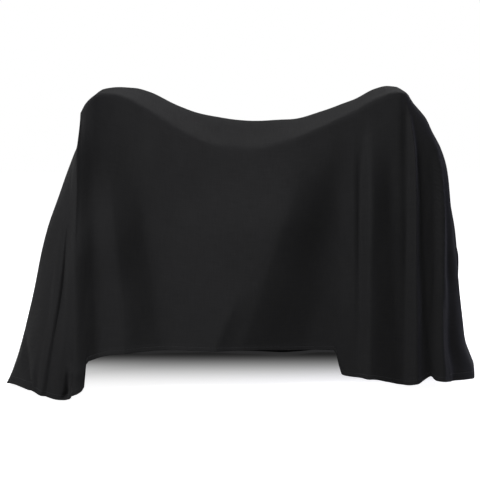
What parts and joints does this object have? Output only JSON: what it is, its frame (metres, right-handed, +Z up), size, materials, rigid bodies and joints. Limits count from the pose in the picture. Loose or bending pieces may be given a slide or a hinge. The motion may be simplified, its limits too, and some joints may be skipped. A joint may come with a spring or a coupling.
{
  "type": "drum set cover",
  "caption": "Black woven dust cover for a drum set, one sheet draped over a sagging ridge, with hanging corner tails, hollow and open below.",
  "frame": {"origin": "on the underside of the top, at the middle of the cover's width, where the drum set holds it up", "axes": "+X along the ridge to the right as seen from the front, +Y to the back, +Z up"},
  "size_m": [1.9458, 0.9504, 1.2189],
  "materials": {
    "woven_cloth": "matt black plain weave with a faint sheen"
  },
  "bodies": {
    "root": {"cover": "woven_cloth"}
  },
  "joints": []
}
